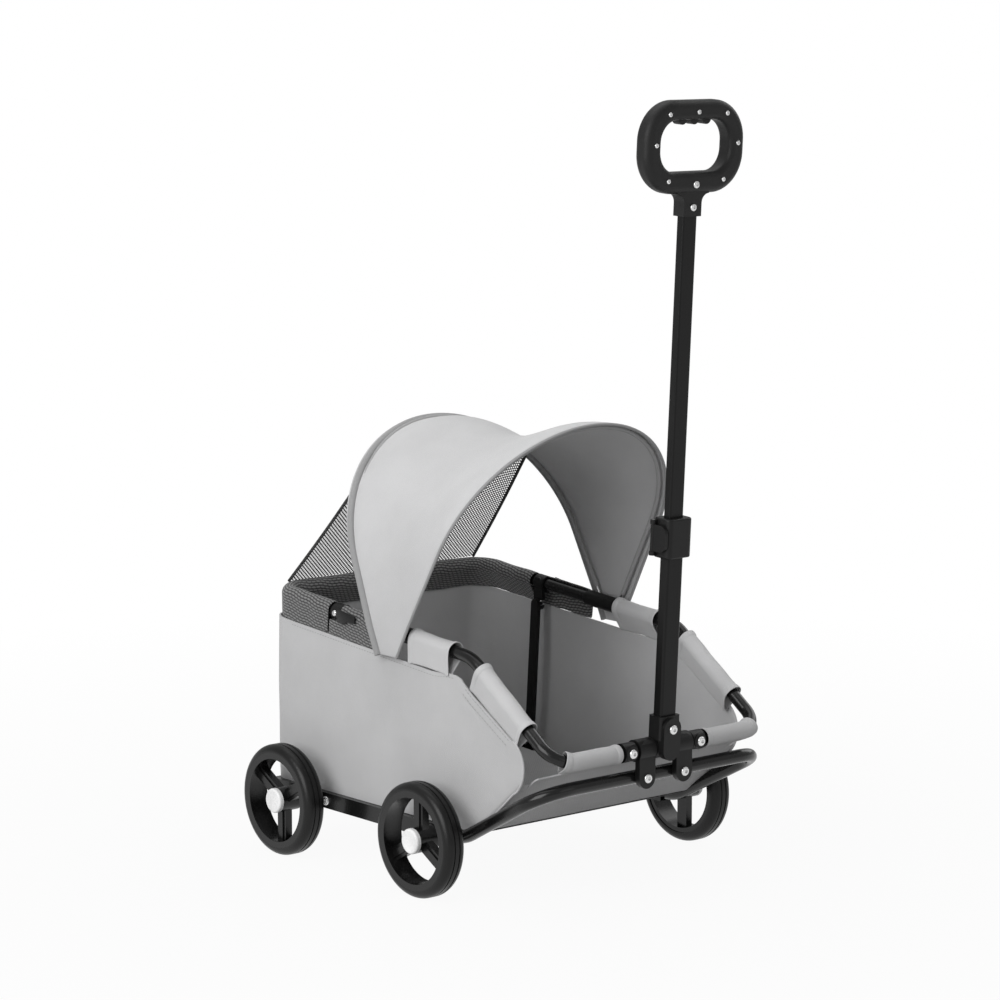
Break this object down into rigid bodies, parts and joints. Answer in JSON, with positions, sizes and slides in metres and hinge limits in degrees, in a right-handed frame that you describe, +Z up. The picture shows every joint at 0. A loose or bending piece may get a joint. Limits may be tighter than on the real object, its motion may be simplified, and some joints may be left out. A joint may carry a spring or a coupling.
{
  "type": "pet stroller",
  "caption": "Low four-wheeled pet stroller with a grey cloth tub on a black tube frame, a bowed cloth hood with a rear net, and a telescopic push pole with a loop grip.",
  "frame": {"origin": "on the floor, below the middle of the whole object's bounding box", "axes": "+Z up; -Y is the front, the end with the pole and the low lip; +X is to the right when looking along +Y from the pole end"},
  "size_m": [0.4254, 0.545, 0.8594],
  "materials": {
    "tyre": "matte black",
    "wheel": "glossy black",
    "wheel_cap": "satin pale grey",
    "frame_tube": "glossy black paint",
    "steel": "plain steel",
    "wire": "sprung steel wire",
    "screw": "bright plated",
    "bracket": "satin black",
    "grip": "satin black",
    "board": "hardboard",
    "mat_cloth": "padded grey cloth",
    "tub_cloth": "grey cloth",
    "hood_cloth": "light grey cloth",
    "sleeve_cloth": "light grey cloth",
    "band": "ribbed dark grey webbing",
    "net": "open black mesh"
  },
  "bodies": {
    "chassis": {"rail_left": "frame_tube", "rail_right": "frame_tube", "rail_plugs": "bracket", "bumper_tube": "frame_tube", "crossbars": "frame_tube", "axles": "steel", "axle_spacers": "bracket", "axle_nuts": "steel", "chassis_screws": "screw", "hinge_plate_left": "bracket", "hinge_plate_right": "bracket", "floor_board": "board", "floor_mat": "mat_cloth", "fabric_tub": "tub_cloth", "strut_feet": "bracket", "strut_rivets": "steel"},
    "basket_rim": {"rim_tube": "frame_tube", "rim_coupler": "steel", "lip_collars": "bracket", "lip_collar_screws": "screw", "rim_clip_left": "bracket", "rim_clip_right": "bracket", "rim_clip_screws": "screw", "bow_brackets": "bracket", "cuff_left": "sleeve_cloth", "cuff_right": "sleeve_cloth", "slope_sleeve_left": "sleeve_cloth", "slope_sleeve_right": "sleeve_cloth", "lip_sleeve_left": "sleeve_cloth", "lip_sleeve_right": "sleeve_cloth", "rear_band": "band", "bow_rear": "wire", "hood_sheet": "hood_cloth", "rear_net": "net"},
    "hood_front": {"bow_front": "wire"},
    "left_strut": {"strut_left": "bracket"},
    "right_strut": {"strut_right": "bracket"},
    "pole": {"pole_knuckle": "bracket", "pole_screw": "screw", "pole_lower": "frame_tube", "clamp_collar": "bracket", "lever_pin": "steel"},
    "lever": {"clamp_lever": "bracket"},
    "pole_top": {"pole_upper": "frame_tube", "grip_front": "grip", "grip_rear": "grip", "grip_screws": "screw", "grip_bolts": "screw"},
    "front_left_wheel": {"tyre_fl": "tyre", "wheel_fl": "wheel", "cap_fl": "wheel_cap"},
    "front_right_wheel": {"tyre_fr": "tyre", "wheel_fr": "wheel", "cap_fr": "wheel_cap"},
    "rear_left_wheel": {"tyre_rl": "tyre", "wheel_rl": "wheel", "cap_rl": "wheel_cap"},
    "rear_right_wheel": {"tyre_rr": "tyre", "wheel_rr": "wheel", "cap_rr": "wheel_cap"}
  },
  "joints": [
    {"name": "front_left_spin", "type": "hinge", "parent": "chassis", "child": "front_left_wheel", "pos_m": [-0.197, -0.051, 0.0635], "axis": [1, 0, 0], "continuous": true},
    {"name": "front_right_spin", "type": "hinge", "parent": "chassis", "child": "front_right_wheel", "pos_m": [0.197, -0.051, 0.0635], "axis": [1, 0, 0], "continuous": true},
    {"name": "rear_left_spin", "type": "hinge", "parent": "chassis", "child": "rear_left_wheel", "pos_m": [-0.197, 0.196, 0.0635], "axis": [1, 0, 0], "continuous": true},
    {"name": "rear_right_spin", "type": "hinge", "parent": "chassis", "child": "rear_right_wheel", "pos_m": [0.197, 0.196, 0.0635], "axis": [1, 0, 0], "continuous": true},
    {"name": "pole_tilt", "type": "hinge", "parent": "chassis", "child": "pole", "pos_m": [0, -0.2185, 0.167], "axis": [1, 0, 0], "range_deg": [-10, 85]},
    {"name": "pole_telescope", "type": "slide", "parent": "pole", "child": "pole_top", "axis": [0, -0.0541, 0.9985], "range_m": [-0.185, 0]},
    {"name": "clamp_lever_swing", "type": "hinge", "parent": "pole", "child": "lever", "pos_m": [-0.0204, -0.22647, 0.39741], "axis": [0, 0.0541, -0.9985], "range_deg": [0, 100]},
    {"name": "basket_fold", "type": "hinge", "parent": "chassis", "child": "basket_rim", "pos_m": [0, -0.2185, 0.167], "axis": [-1, 0, 0], "range_deg": [0, 18], "deforming": ["fabric_tub"]},
    {"name": "left_strut_swing", "type": "hinge", "parent": "chassis", "child": "left_strut", "pos_m": [-0.1385, 0.1575, 0.0905], "axis": [1, 0, 0], "range_deg": [0, 85]},
    {"name": "right_strut_swing", "type": "hinge", "parent": "chassis", "child": "right_strut", "pos_m": [0.1385, 0.1575, 0.0905], "axis": [1, 0, 0], "range_deg": [0, 85]},
    {"name": "hood_front_fold", "type": "hinge", "parent": "basket_rim", "child": "hood_front", "pos_m": [0, 0.0265, 0.27068], "axis": [-1, 0, 0], "range_deg": [0, 45], "deforming": ["hood_sheet"]}
  ],
  "couplings": [
    {"joint": "left_strut_swing", "follows": "basket_fold", "ratio": 4.7},
    {"joint": "right_strut_swing", "follows": "basket_fold", "ratio": 4.7}
  ]
}
